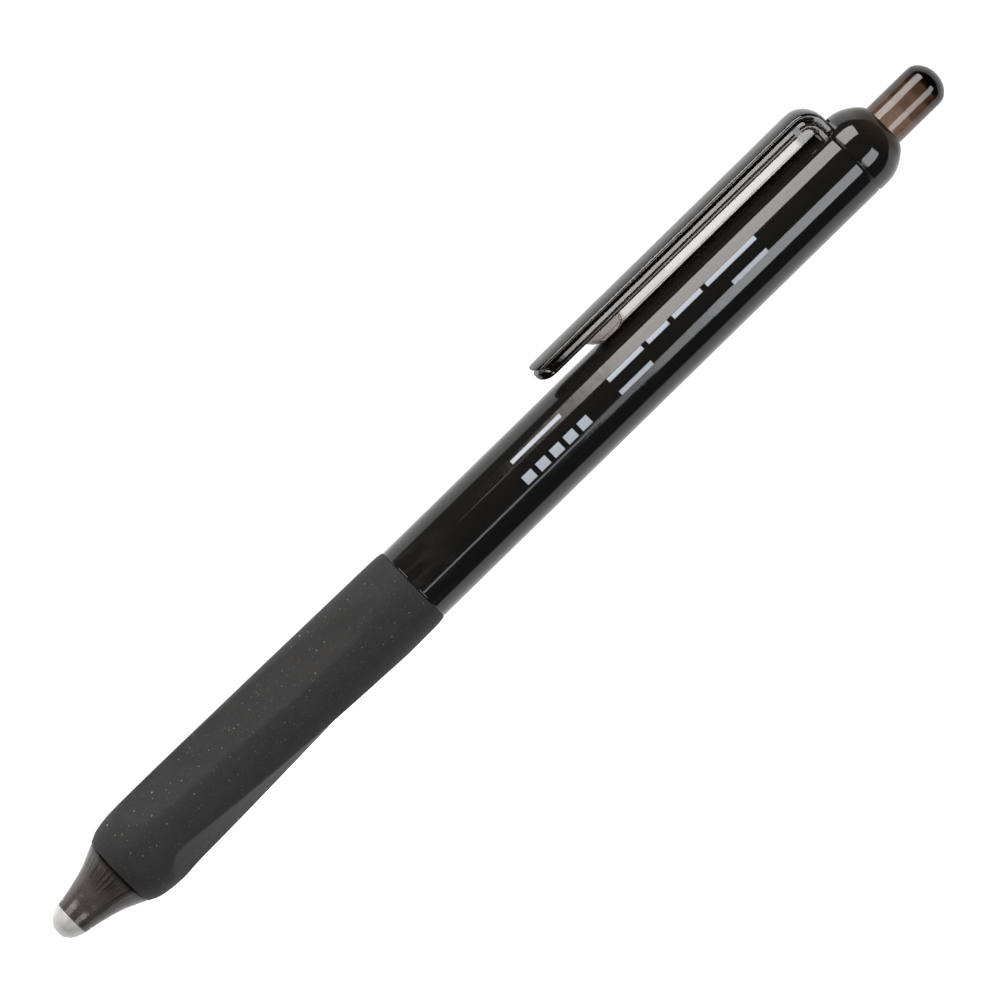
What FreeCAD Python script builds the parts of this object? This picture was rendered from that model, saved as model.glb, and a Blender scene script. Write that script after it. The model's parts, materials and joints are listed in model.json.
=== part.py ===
import FreeCAD, Part
import math
import os

# Retractable gel pen, lying on a flat surface with its axis level.
# Frame: +X along the axis towards the writing tip, +Z up, -Y the side the clip lies on.
# Origin: bottom centre of the bounding box.  Units: mm.
# Stations along the axis are given as s, the distance behind the front face of the metal tip.

V = FreeCAD.Vector
os.makedirs("parts", exist_ok=True)

# ---------------------------------------------------------------- driving dimensions
LENGTH = 144.35          # overall length, point retracted
CLIP_DROOP = 25.0        # clip's centre line hangs this far below level, in degrees
STROKE = 5.6             # full press of the push button
BARREL_R = 5.17
CAP_R = 5.23
GRIP_FRONT = 10.15
GRIP_REAR = 58.4
SEAM = 130.0             # barrel to top cap
CAP_END = 135.5
CORE_R = 4.30            # thin core of the barrel under the grip
NOSE_TAIL_R = 3.75
NOSE_THREAD_BORE = 3.85
NOSE_BORE_R = 3.15
REFILL_R = 2.95          # 6 mm class refill
REFILL_BORE_R = 2.45
MAIN_BORE_R = 3.20
REAR_BORE_R = 4.35
BUTTON_R = 2.85
BUTTON_HOLE_R = 2.95
BALL_R = 0.25            # 0.5 mm ball
BALL_SOCKET_R = 0.27
RIB_COUNT = 4
RIB_ANGLE = 20.0         # width of a rib and of a spline, in degrees
ROTOR_START = 2.5        # a rotor spline stands this many degrees off its rib
CLIP_PLATE_HW = 2.40     # half width of the clip's plate
CLIP_BODY_HW = 1.90      # half width of the raised body on it
CLIP_PLATE_R0, CLIP_PLATE_R1, CLIP_BODY_R1 = 7.04, 8.05, 9.05
CLIP_FREE_END, CLIP_REAR = 85.7, 131.3
AXIS_Z = 5.80            # height of the axis: the grip's belly touches the surface


def X(s):
    return LENGTH / 2.0 - s


def revolve(points):
    """Closed profile of (s, r) points turned round the pen's axis."""
    pts = [V(X(s), r, 0) for s, r in points]
    pts.append(pts[0])
    clean = [pts[0]]
    for p in pts[1:]:
        if (p - clean[-1]).Length > 1e-6:
            clean.append(p)
    face = Part.Face(Part.makePolygon(clean))
    solid = face.revolve(V(0, 0, 0), V(1, 0, 0), 360)
    if solid.ShapeType != "Solid":
        solid = Part.Solid(solid.Shells[0])
    if solid.Volume < 0:
        solid.reverse()
    return solid


def cyl(s0, s1, r, y=0.0, z=0.0):
    """Cylinder along the axis between two stations."""
    return Part.makeCylinder(r, s1 - s0, V(X(s1), y, z), V(1, 0, 0))


def box(s0, s1, y0, y1, z0, z1):
    return Part.makeBox(s1 - s0, y1 - y0, z1 - z0, V(X(s1), y0, z0))


def sector(s0, s1, r0, r1, centre, width):
    """Segment of a ring: a rib or a spline, centred on an angle in degrees."""
    ring = cyl(s0, s1, r1).cut(cyl(s0 - 1, s1 + 1, r0))
    a0, a1 = math.radians(centre - width / 2), math.radians(centre + width / 2)
    far = r1 * 3
    tri = Part.Face(Part.makePolygon([
        V(X(s1) - 0.5, 0, 0),
        V(X(s1) - 0.5, far * math.cos(a0), far * math.sin(a0)),
        V(X(s1) - 0.5, far * math.cos(a1), far * math.sin(a1)),
        V(X(s1) - 0.5, 0, 0),
    ])).extrude(V(s1 - s0 + 1, 0, 0))
    return ring.common(tri)


def prism_xz(points, y0, y1):
    """Outline of (s, z) points pushed across the pen from y0 to y1."""
    pts = [V(X(s), y0, z) for s, z in points]
    pts.append(pts[0])
    return Part.Face(Part.makePolygon(pts)).extrude(V(0, y1 - y0, 0))


def spring(s0, s1, mean_r, wire_r, turns):
    """Helical wire between two stations."""
    height = s1 - s0
    helix = Part.makeHelix(height / turns, height, mean_r)
    profile = Part.Wire([Part.makeCircle(wire_r, V(mean_r, 0, 0), V(0, 1, 0))])
    solid = Part.Wire(helix.Edges).makePipeShell([profile], True, True)
    solid = Part.Solid(solid) if solid.ShapeType != "Solid" else solid
    if solid.Volume < 0:
        solid.reverse()
    solid.rotate(V(0, 0, 0), V(0, 1, 0), 90)       # helix axis Z becomes X
    solid.translate(V(X(s1), 0, 0))
    return solid


# ---------------------------------------------------------------- metal tip insert
nose_tip = revolve([
    (0, 0.62), (0, 0.79), (0.235, 1.15), (0.47, 1.48), (0.705, 1.66), (0.94, 1.82), (1.175, 1.96),
    (1.41, 2.06), (1.645, 2.14), (1.88, 2.22), (2.30, 2.33), (2.34, 1.75), (6.90, 1.75), (6.90, 1.25),
    (1.75, 1.25), (1.05, 0.62),
])

# ---------------------------------------------------------------- nose cone, with its tail inside the barrel
nose_cone = revolve([
    (2.42, 1.80), (2.42, 2.40), (3.06, 2.47), (3.53, 2.55), (4.0, 2.62), (4.47, 2.73), (4.94, 2.85),
    (5.41, 2.97), (5.88, 3.08), (6.35, 3.20), (6.82, 3.33), (7.29, 3.50), (7.76, 3.69), (8.23, 3.89),
    (8.70, 4.10), (9.17, 4.32), (9.64, 4.55), (10.0, 4.74), (10.0, NOSE_TAIL_R), (19.3, NOSE_TAIL_R),
    (19.8, 3.55), (19.8, NOSE_BORE_R), (9.3, NOSE_BORE_R), (8.3, 2.75), (7.5, 2.75), (7.5, 1.32),
    (7.0, 1.32), (7.0, 1.80),
])

# ---------------------------------------------------------------- barrel
barrel = revolve([
    (GRIP_FRONT, NOSE_THREAD_BORE), (GRIP_FRONT, CORE_R), (GRIP_REAR, CORE_R), (GRIP_REAR, 4.95),
    (58.6, BARREL_R), (SEAM - 0.08, BARREL_R + 0.03), (SEAM, BARREL_R - 0.03), (SEAM, REAR_BORE_R),
    (96.0, REAR_BORE_R), (94.8, MAIN_BORE_R), (20.6, MAIN_BORE_R), (20.6, NOSE_THREAD_BORE),
])

# ---------------------------------------------------------------- top cap
top_cap = revolve([
    (127.0, 3.35), (127.0, REAR_BORE_R), (SEAM, REAR_BORE_R), (SEAM, CAP_R - 0.05), (SEAM + 0.08, CAP_R),
    (131.4, CAP_R), (132.3, 5.11), (132.8, 4.96), (133.25, 4.82), (133.7, 4.58), (134.2, 4.32),
    (134.66, 3.94), (135.1, 3.50), (CAP_END, 3.05), (CAP_END, BUTTON_HOLE_R), (133.2, BUTTON_HOLE_R),
    (132.8, 3.35),
])

# notch for the clip's root, through the barrel wall and across the seam into the cap
notch = box(127.45, 131.5, -2.45, 2.45, 4.40, 7.0)
barrel = barrel.cut(notch)
top_cap = top_cap.cut(notch)

# ---------------------------------------------------------------- grip sleeve with three twisting flats
grip_sleeve = revolve([
    (GRIP_FRONT, CORE_R), (GRIP_FRONT, 4.80), (10.6, 5.00), (11.05, 5.22), (11.5, 5.38), (12.0, 5.49),
    (12.5, 5.57), (12.9, 5.64), (13.4, 5.71), (13.9, 5.76), (15.3, 5.79), (16.7, 5.80), (20.9, 5.80),
    (25.6, 5.77), (31.5, 5.70), (37.4, 5.64), (42.1, 5.58), (46.8, 5.52), (51.5, 5.46), (56.2, 5.40),
    (57.6, 5.33), (58.1, 5.24), (GRIP_REAR, 5.10), (GRIP_REAR, CORE_R),
])
FLATS = [  # station, distance of each flat from the axis
    (9.0, 6.30), (14.4, 6.00), (15.4, 5.35), (16.2, 4.92), (17.3, 4.74), (18.6, 4.70), (22.0, 4.76),
    (25.6, 4.82), (29.5, 4.85), (33.5, 4.88), (37.0, 4.90), (40.9, 4.93), (45.0, 5.00), (49.1, 5.10),
    (53.0, 5.42), (60.0, 6.30),
]


def flat_turn(s):
    """Angle of the first flat's normal, from the clip's side round towards +Y of the clip's own frame."""
    return 19.0 + 0.985 * (s - 18.6)


wires = []
for s, d in FLATS:
    pts = []
    for k in range(3):
        a = math.radians(flat_turn(s) + 120 * k + 60)
        pts.append(V(X(s), 2 * d * math.sin(a), 2 * d * math.cos(a)))
    pts.append(pts[0])
    wires.append(Part.makePolygon(pts))
twisted = Part.makeLoft(wires, True, True)
if twisted.Volume < 0:
    twisted.reverse()
grip_sleeve = grip_sleeve.common(twisted)

# ---------------------------------------------------------------- clip, made upright over the pen (+Z outwards), turned down later
# side outline of plate and bend, with the root that enters the notch
r0, r1, r2 = CLIP_PLATE_R0, CLIP_PLATE_R1, CLIP_BODY_R1
CLIP_BEND_S = CLIP_REAR - 0.2 - (r2 - 6.0)     # centre of the bend, at radius 6 from the axis


def turned(radius, a0=0, a1=90, step=10):
    """Quarter circle round the centre of the bend, as (s, z)."""
    return [(CLIP_BEND_S + radius * math.sin(math.radians(t)), 6.0 + radius * math.cos(math.radians(t)))
            for t in range(a0, a1 + 1, step)]


inner, middle, outer = r0 - 6.0, r1 - 6.0, r2 - 6.0
plate_side = [(85.95, r0 + 0.5), (86.5, r0 + 0.14), (87.2, r0)] + turned(inner, 0, 90, 15)
plate_side += [(CLIP_BEND_S + inner, 4.52), (CLIP_BEND_S + middle, 4.52)]
plate_side += list(reversed(turned(middle))) + [(85.75, r1), (85.70, r0 + 0.75)]
plate = prism_xz(plate_side, -CLIP_PLATE_HW, CLIP_PLATE_HW)
# the root is narrower than the plate, so that it fits the notch
plate = plate.cut(box(127.3, 132, -4, -2.33, 3.0, 5.6)).cut(box(127.3, 132, 2.33, 4, 3.0, 5.6))
# rounded plan outline of the free end
corner = 2.2
end_zone = box(85.0, CLIP_FREE_END + corner, -3, 3, 3, 11)
keep = Part.makeCylinder(corner, 8, V(X(CLIP_FREE_END + corner), CLIP_PLATE_HW - corner, 3), V(0, 0, 1))
keep = keep.fuse(Part.makeCylinder(corner, 8, V(X(CLIP_FREE_END + corner), -(CLIP_PLATE_HW - corner), 3), V(0, 0, 1)))
keep = keep.fuse(box(CLIP_FREE_END, CLIP_FREE_END + corner, -(CLIP_PLATE_HW - corner), CLIP_PLATE_HW - corner, 3, 11))
plate = plate.cut(end_zone.cut(keep))
# raised body with chamfered long edges and a slanted end, carried round the bend to the root
hw, ch = CLIP_BODY_HW, 0.40
section = [V(0, -hw, r1 - 0.2), V(0, hw, r1 - 0.2), V(0, hw, r2 - ch), V(0, hw - ch, r2), V(0, -hw + ch, r2),
           V(0, -hw, r2 - ch), V(0, -hw, r1 - 0.2)]
raised = Part.Face(Part.makePolygon(section)).extrude(V(CLIP_BEND_S - 85.8, 0, 0))
raised.translate(V(X(CLIP_BEND_S), 0, 0))
raised = raised.cut(prism_xz([(86.95, r1 - 0.25), (85.9, r2 + 0.01), (85.9, r2 + 0.3), (85.0, r2 + 0.3), (85.0, r1 - 0.25)], -4, 4))
tail_side = turned(middle - 0.2) + [(CLIP_BEND_S + middle - 0.2, 4.52), (CLIP_BEND_S + outer, 4.52)] + list(reversed(turned(outer)))
tail = prism_xz(tail_side, -hw, hw)
# web under the plate, and the tooth at its front
web = prism_xz([(97.4, r0 + 0.2), (97.4, 5.32), (127.9, 5.32), (128.4, 5.45), (128.7, 5.9), (128.8, r0 + 0.2)], -0.62, 0.62)
tooth = prism_xz([(91.9, r0 + 0.2), (92.3, 6.6), (93.9, 5.42), (94.4, 5.30), (96.7, 5.30), (97.5, 5.5), (98.0, r0 + 0.2)],
                 -1.40, 1.40)
clip = plate.fuse([raised, tail, web, tooth])
# keep the underside of web and tooth clear of the barrel's round surface
clip = clip.cut(cyl(84.0, 127.2, BARREL_R + 0.11)).removeSplitter()

# ---------------------------------------------------------------- click mechanism
push_button = revolve([
    (127.6, 2.20), (127.6, BUTTON_R), (141.9, BUTTON_R), (142.45, 2.82), (142.8, 2.72), (143.15, 2.52), (143.5, 2.20),
    (143.85, 1.76), (144.12, 1.20), (144.28, 0.62), (144.35, 0.0), (142.4, 0.0), (142.4, 1.80), (140.9, 1.88),
    (140.9, 2.06), (138.5, 2.08), (138.5, 2.20),
])
cam_plunger = revolve([
    (120.5, 2.10), (120.5, 3.20), (127.6, 3.20), (127.6, 2.20), (133.0, 2.20), (133.0, 1.50), (126.0, 1.50), (126.0, 2.10),
])
for k in range(RIB_COUNT):
    spline = sector(121.6, 126.8, 3.0, 3.70, 90.0 / 2 + 90.0 * k, RIB_ANGLE)
    cam_plunger = cam_plunger.fuse(spline)
# eight pointed teeth on the front face
for k in range(8):
    a = 45.0 * k
    gap = Part.Face(Part.makePolygon([V(X(120.4), -0.95, 0), V(X(120.4), 0.95, 0), V(X(121.3), 0, 0), V(X(120.4), -0.95, 0)])
                    ).extrude(V(0, 0, 5))
    gap.rotate(V(0, 0, 0), V(1, 0, 0), a)
    cam_plunger = cam_plunger.cut(gap)
cam_plunger = cam_plunger.removeSplitter()

cam_guide = revolve([(112.6, 3.85), (112.6, REAR_BORE_R), (127.0, REAR_BORE_R), (127.0, 3.85)])
for k in range(RIB_COUNT):
    cam_guide = cam_guide.fuse(sector(112.6, 127.0, 3.42, 4.0, 90.0 * k, RIB_ANGLE))
cam_guide = cam_guide.removeSplitter()

cam_rotor = revolve([
    (113.45, 0.0), (113.45, 3.20), (119.2, 3.20), (119.6, 2.75), (119.6, 1.80), (124.5, 1.80), (125.0, 1.30), (125.0, 0.0),
])
for k in range(RIB_COUNT):
    centre = 90.0 * k + RIB_ANGLE / 2 + ROTOR_START + RIB_ANGLE / 2
    spline = sector(113.45, 118.2, 3.0, 3.70, centre, RIB_ANGLE)
    # slanted rear end of the spline
    wedge = Part.Face(Part.makePolygon([V(X(118.3), -0.9, 0), V(X(118.3), 0.9, 0), V(X(117.2), 0.9, 0), V(X(118.3), -0.9, 0)])
                      ).extrude(V(0, 0, 5))
    wedge.rotate(V(0, 0, 0), V(1, 0, 0), centre - 90.0)
    cam_rotor = cam_rotor.fuse(spline.cut(wedge))
cam_rotor = cam_rotor.removeSplitter()

# ---------------------------------------------------------------- refill
refill_tube = revolve([(21.5, REFILL_BORE_R), (21.5, REFILL_R), (112.2, REFILL_R), (112.2, REFILL_BORE_R)])
ink_column = revolve([(26.0, 0.0), (26.0, REFILL_BORE_R), (95.0, REFILL_BORE_R), (95.0, 0.0)])
ink_follower = revolve([(95.0, 0.0), (95.0, REFILL_BORE_R), (99.5, REFILL_BORE_R), (98.9, 0.0)])
refill_tail_plug = revolve([(107.6, 0.5), (107.6, REFILL_BORE_R), (112.2, REFILL_BORE_R), (112.2, REFILL_R), (113.2, REFILL_R),
                            (113.2, 0.5)])
point_holder = revolve([
    (13.5, 1.10), (13.5, 1.50), (14.2, 1.75), (19.5, 1.75), (19.5, REFILL_R), (21.5, REFILL_R), (21.5, REFILL_BORE_R),
    (26.0, REFILL_BORE_R), (26.0, 0.80), (16.5, 0.80), (16.5, 1.10),
])
# metal point: needle front, stepped body, bored through for the ink and the inner spring
BALL_S = 2.20 + BALL_R
lip_s = 2.29
lip_r = math.sqrt(BALL_SOCKET_R ** 2 - (BALL_S - lip_s) ** 2)
writing_point = revolve([
    (lip_s, 0.0), (lip_s, lip_r + 0.04), (2.60, 0.38), (3.0, 0.45), (6.75, 0.45), (7.75, 1.10), (16.5, 1.10), (16.5, 0.72), (8.6, 0.72),
    (8.1, 0.16), (3.1, 0.16), (2.9, 0.0),
])
writing_point = writing_point.cut(Part.makeSphere(BALL_SOCKET_R, V(X(BALL_S), 0, 0)))
writing_point = writing_point.cut(cyl(2.5, 8.4, 0.16))
point_ball = Part.makeSphere(BALL_R, V(X(BALL_S), 0, 0))
point_spring = spring(9.1, 13.3, 0.50, 0.09, 6)
point_spring = point_spring.fuse([cyl(8.95, 9.2, 0.60), cyl(2.75, 9.0, 0.08)])

# ---------------------------------------------------------------- return spring round the point
return_spring = spring(7.95, 19.05, 2.15, 0.20, 7)

# ---------------------------------------------------------------- place and write
clip_turn = 90.0 + CLIP_DROOP
nodes = {
    "nose_tip": nose_tip, "nose_cone": nose_cone, "barrel": barrel, "top_cap": top_cap, "grip_sleeve": grip_sleeve,
    "clip": clip, "push_button": push_button, "cam_plunger": cam_plunger, "cam_guide": cam_guide, "cam_rotor": cam_rotor,
    "refill_tube": refill_tube, "ink_column": ink_column, "ink_follower": ink_follower,
    "refill_tail_plug": refill_tail_plug, "point_holder": point_holder, "writing_point": writing_point,
    "point_ball": point_ball, "point_spring": point_spring, "return_spring": return_spring,
}
lows = []
for name, shape in nodes.items():
    if shape.ShapeType == "Compound" and len(shape.Solids) == 1:
        shape = shape.Solids[0]
    shape = shape.copy()
    shape.rotate(V(0, 0, 0), V(1, 0, 0), clip_turn)
    shape.translate(V(0, 0, AXIS_Z))
    nodes[name] = shape
    bb = shape.BoundBox
    lows.append(bb.ZMin)
box_all = None
for shape in nodes.values():
    bb = shape.optimalBoundingBox(True, False) if hasattr(shape, "optimalBoundingBox") else shape.BoundBox
    if box_all is None:
        box_all = bb
    else:
        box_all.add(bb)
shift = V(-(box_all.XMin + box_all.XMax) / 2, -(box_all.YMin + box_all.YMax) / 2, -box_all.ZMin)
for name, shape in nodes.items():
    shape.translate(shift)
    shape.exportStep("parts/%s.step" % name)
    bb = shape.BoundBox
    print("%-18s solids %d valid %s vol %9.3f  x %.2f..%.2f y %.2f..%.2f z %.2f..%.2f" % (
        name, len(shape.Solids), shape.isValid(), shape.Volume, bb.XMin, bb.XMax, bb.YMin, bb.YMax, bb.ZMin, bb.ZMax))
print("axis at y %.4f z %.4f, shift x %.4f" % (shift.y, AXIS_Z + shift.z, shift.x))
print("box x %.3f..%.3f y %.3f..%.3f z %.3f..%.3f before the shift" % (
    box_all.XMin, box_all.XMax, box_all.YMin, box_all.YMax, box_all.ZMin, box_all.ZMax))
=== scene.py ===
import bpy
import bmesh
import json
import math
from mathutils import Matrix, Vector

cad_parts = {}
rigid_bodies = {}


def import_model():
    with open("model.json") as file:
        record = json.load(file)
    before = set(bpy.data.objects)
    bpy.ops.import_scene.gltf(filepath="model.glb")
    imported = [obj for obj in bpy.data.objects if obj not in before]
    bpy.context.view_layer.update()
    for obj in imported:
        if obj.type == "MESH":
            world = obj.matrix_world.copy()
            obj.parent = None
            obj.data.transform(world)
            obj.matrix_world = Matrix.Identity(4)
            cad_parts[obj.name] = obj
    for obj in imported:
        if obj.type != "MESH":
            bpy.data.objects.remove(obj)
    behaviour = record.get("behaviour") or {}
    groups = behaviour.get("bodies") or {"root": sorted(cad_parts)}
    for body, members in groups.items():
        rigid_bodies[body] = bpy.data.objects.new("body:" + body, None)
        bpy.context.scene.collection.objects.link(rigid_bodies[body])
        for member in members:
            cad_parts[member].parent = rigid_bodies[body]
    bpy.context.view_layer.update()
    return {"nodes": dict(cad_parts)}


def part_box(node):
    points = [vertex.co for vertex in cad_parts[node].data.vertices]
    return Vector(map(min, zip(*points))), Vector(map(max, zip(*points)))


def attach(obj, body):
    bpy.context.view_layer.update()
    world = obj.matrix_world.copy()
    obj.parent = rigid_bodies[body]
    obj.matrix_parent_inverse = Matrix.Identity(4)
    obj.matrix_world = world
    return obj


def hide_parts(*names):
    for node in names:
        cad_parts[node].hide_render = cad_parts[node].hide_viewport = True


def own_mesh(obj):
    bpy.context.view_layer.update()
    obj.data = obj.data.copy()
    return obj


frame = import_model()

# ------------------------------------------------------------------ the pen's own axes, from the frame
MM = 0.001
tube_lo, tube_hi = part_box("refill_tube")
AXIS_Y = (tube_lo[1] + tube_hi[1]) / 2
AXIS_Z = (tube_lo[2] + tube_hi[2]) / 2
TIP_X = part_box("nose_tip")[1][0]          # front face of the metal tip
DROOP = math.radians(25.0)                # the clip hangs this far below level
OUT = Vector((0, -math.cos(DROOP), -math.sin(DROOP)))     # from the axis to the clip
SIDE = Vector((0, -math.sin(DROOP), math.cos(DROOP)))     # across the clip, on its upper side


def place(s, w, r):
    """Point at station s behind the tip (mm), w across the clip and r outwards along the clip's direction (mm)."""
    return Vector((TIP_X - s * MM, AXIS_Y, AXIS_Z)) + SIDE * (w * MM) + OUT * (r * MM)


def polar(s, deg, r):
    a = math.radians(deg)
    return place(s, r * math.sin(a), r * math.cos(a))


# ------------------------------------------------------------------ mesh helpers
def new_object(name, verts, faces):
    me = bpy.data.meshes.new(name)
    me.from_pydata([tuple(v) for v in verts], [], faces)
    me.update()
    bm = bmesh.new()
    bm.from_mesh(me)
    bmesh.ops.recalc_face_normals(bm, faces=bm.faces)
    bm.to_mesh(me)
    bm.free()
    ob = bpy.data.objects.new(name, me)
    bpy.context.scene.collection.objects.link(ob)
    return ob


def smooth(ob, deg=35.0):
    for p in ob.data.polygons:
        p.use_smooth = True
    ob.data.set_sharp_from_angle(angle=math.radians(deg))
    return ob


def catmull(points, per=6):
    """Smooth curve through (s, r) points; a point given as (s, r, 'c') is a corner."""
    out = []
    n = len(points)
    for i in range(n - 1):
        p1, p2 = points[i], points[i + 1]
        p0 = points[i - 1] if i > 0 and len(p1) == 2 else p1
        p3 = points[i + 2] if i + 2 < n and len(p2) == 2 else p2
        for k in range(per):
            t = k / per
            q = []
            for d in range(2):
                a, b, c, e = p0[d], p1[d], p2[d], p3[d]
                q.append(0.5 * ((2 * b) + (-a + c) * t + (2 * a - 5 * b + 4 * c - e) * t * t + (-a + 3 * b - 3 * c + e) * t ** 3))
            out.append(tuple(q))
    out.append(tuple(points[-1][:2]))
    return out


def lathe(name, profile, segs=160, closed=True, radius=None, angle=35.0):
    """Closed profile of (s, r) turned round the axis. radius(s, r, deg) may change the radius with the angle."""
    prof = []
    for p in profile:
        if not prof or math.dist(p[:2], prof[-1][:2]) > 1e-5:
            prof.append(p[:2])
    if closed and math.dist(prof[0], prof[-1]) < 1e-5:
        prof.pop()
    verts, faces, index = [], [], []
    for s, r in prof:
        if r < 1e-6:
            verts.append(polar(s, 0, 0))
            index.append([len(verts) - 1] * segs)
            continue
        row = []
        for k in range(segs):
            deg = 360.0 * k / segs
            rr = radius(s, r, deg) if radius else r
            verts.append(polar(s, deg, rr))
            row.append(len(verts) - 1)
        index.append(row)
    m = len(prof)
    for i in range(m if closed else m - 1):
        a, b = index[i], index[(i + 1) % m]
        if a[0] == a[1] and b[0] == b[1]:
            continue
        for k in range(segs):
            k2 = (k + 1) % segs
            loop = [a[k], a[k2], b[k2], b[k]]
            loop = [v for j, v in enumerate(loop) if v not in loop[:j]]
            if len(loop) >= 3:
                faces.append(loop)
    return smooth(new_object(name, verts, faces), angle)


def sweep(name, rings, angle=35.0):
    """Skin over rings of points (each ring a closed loop), with flat ends."""
    verts, faces = [], []
    n = len(rings[0])
    for ring in rings:
        verts += ring
    for i in range(len(rings) - 1):
        for k in range(n):
            k2 = (k + 1) % n
            faces.append([i * n + k, i * n + k2, (i + 1) * n + k2, (i + 1) * n + k])
    faces.append(list(range(n))[::-1])
    faces.append([(len(rings) - 1) * n + k for k in range(n)])
    return smooth(new_object(name, verts, faces), angle)


def boolean(ob, other, op="UNION", angle=35.0):
    m = ob.modifiers.new("b", "BOOLEAN")
    m.operation = op
    m.solver = "EXACT"
    m.object = other
    dg = bpy.context.evaluated_depsgraph_get()
    me = bpy.data.meshes.new_from_object(ob.evaluated_get(dg))
    ob.modifiers.clear()
    old = ob.data
    ob.data = me
    bpy.data.meshes.remove(old)
    bpy.data.objects.remove(other, do_unlink=True)
    return smooth(ob, angle)


def arc(cx, cy, r, a0, a1, n):
    return [(cx + r * math.cos(math.radians(a0 + (a1 - a0) * i / n)), cy + r * math.sin(math.radians(a0 + (a1 - a0) * i / n)))
            for i in range(n + 1)]


def block(name, s0, s1, w0, w1, r0, r1):
    c = [(s, w, r) for s in (s0, s1) for w in (w0, w1) for r in (r0, r1)]
    v = [place(*p) for p in c]
    f = [[0, 1, 3, 2], [4, 6, 7, 5], [0, 4, 5, 1], [2, 3, 7, 6], [0, 2, 6, 4], [1, 5, 7, 3]]
    return new_object(name, v, f)


# ------------------------------------------------------------------ materials
def material(name, color, rough=0.4, metal=0.0, ior=1.5, transmission=0.0):
    m = bpy.data.materials.new(name)
    m.use_nodes = True
    b = m.node_tree.nodes["Principled BSDF"]
    b.inputs["Base Color"].default_value = (*color, 1)
    b.inputs["Roughness"].default_value = rough
    b.inputs["Metallic"].default_value = metal
    b.inputs["IOR"].default_value = ior
    b.inputs["Transmission Weight"].default_value = transmission
    return m, m.node_tree.nodes, m.node_tree.links, b


def mm_coords(nodes, links, scale=(1000, 1000, 1000)):
    tc = nodes.new("ShaderNodeTexCoord")
    mp = nodes.new("ShaderNodeMapping")
    mp.inputs["Scale"].default_value = scale
    links.new(tc.outputs["Object"], mp.inputs["Vector"])
    return mp.outputs["Vector"]


def noise(nodes, links, vec, scale, detail=4.0, rough=0.55):
    n = nodes.new("ShaderNodeTexNoise")
    n.inputs["Scale"].default_value = scale
    n.inputs["Detail"].default_value = detail
    n.inputs["Roughness"].default_value = rough
    links.new(vec, n.inputs["Vector"])
    return n.outputs["Fac"]


def ramp(nodes, links, fac, stops):
    r = nodes.new("ShaderNodeValToRGB")
    e = r.color_ramp.elements
    while len(e) < len(stops):
        e.new(0.5)
    for el, (pos, col) in zip(e, stops):
        el.position = pos
        el.color = (*col, 1) if len(col) == 3 else col
    links.new(fac, r.inputs["Fac"])
    return r.outputs["Color"]


def remap(nodes, links, fac, a, b, c, d):
    m = nodes.new("ShaderNodeMapRange")
    m.inputs["From Min"].default_value = a
    m.inputs["From Max"].default_value = b
    m.inputs["To Min"].default_value = c
    m.inputs["To Max"].default_value = d
    links.new(fac, m.inputs["Value"])
    return m.outputs["Result"]


def bump(nodes, links, bsdf, height, strength, dist):
    b = nodes.new("ShaderNodeBump")
    b.inputs["Strength"].default_value = strength
    b.inputs["Distance"].default_value = dist
    links.new(height, b.inputs["Height"])
    links.new(b.outputs["Normal"], bsdf.inputs["Normal"])
    return b


def maths(n, l, op, a, b=0.0):
    """One arithmetic node; a and b are sockets or numbers."""
    m = n.new("ShaderNodeMath"); m.operation = op
    for i, x in enumerate((a, b)):
        if isinstance(x, (int, float)):
            m.inputs[i].default_value = x
        else:
            l.new(x, m.inputs[i])
    return m.outputs[0]


def pen_coords(n, l):
    """Sockets for the station s and the angle round the axis in degrees (0 at the clip, plus on its upper side)."""
    tc = n.new("ShaderNodeTexCoord")
    off = n.new("ShaderNodeVectorMath"); off.operation = "SUBTRACT"
    off.inputs[1].default_value = (TIP_X, AXIS_Y, AXIS_Z)
    l.new(tc.outputs["Object"], off.inputs[0])
    sep = n.new("ShaderNodeSeparateXYZ")
    l.new(off.outputs[0], sep.inputs[0])
    s = maths(n, l, "MULTIPLY", sep.outputs["X"], -1000.0)
    parts = []
    for d in (OUT, SIDE):
        dot = n.new("ShaderNodeVectorMath"); dot.operation = "DOT_PRODUCT"
        dot.inputs[1].default_value = tuple(d)
        l.new(off.outputs[0], dot.inputs[0])
        parts.append(dot.outputs["Value"])
    deg = maths(n, l, "MULTIPLY", maths(n, l, "ARCTAN2", parts[1], parts[0]), 180 / math.pi)
    return s, deg, maths(n, l, "MULTIPLY", parts[0], 1000.0)


def window(n, l, x, a, b, soft):
    """1 between a and b, fading over soft at each end."""
    return maths(n, l, "MULTIPLY", remap(n, l, x, a - soft / 2, a + soft / 2, 0.0, 1.0),
                 remap(n, l, x, b - soft / 2, b + soft / 2, 1.0, 0.0))


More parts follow.
